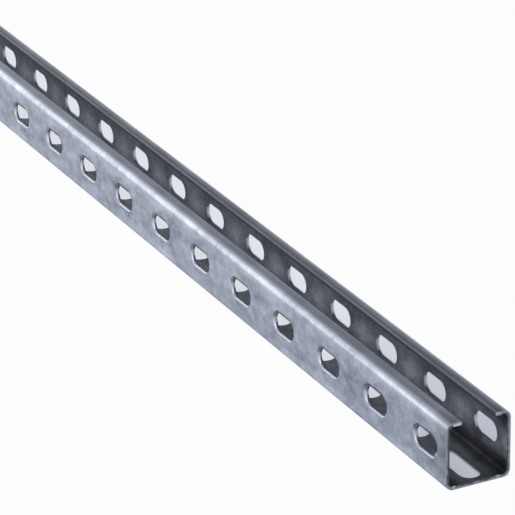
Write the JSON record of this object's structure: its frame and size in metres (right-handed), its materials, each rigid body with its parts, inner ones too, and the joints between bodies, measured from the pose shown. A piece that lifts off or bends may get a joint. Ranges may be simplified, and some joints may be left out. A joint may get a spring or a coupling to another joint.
{
  "type": "mounting rail",
  "caption": "Perforated C-section mounting rail, open side up, slotted in its base and both side walls for bolts and channel nuts.",
  "frame": {"origin": "middle of the rail's length, on the outer face of its base, midway between the side walls", "axes": "+X along the rail to the cut end that the slots are counted from, +Z out of the open side"},
  "size_m": [1, 0.036, 0.036],
  "materials": {
    "galvanised_steel": "zinc coated sheet steel, satin grey with faint rolling marks and bright sheared edges"
  },
  "bodies": {
    "root": {"channel_rail": "galvanised_steel"}
  },
  "joints": []
}
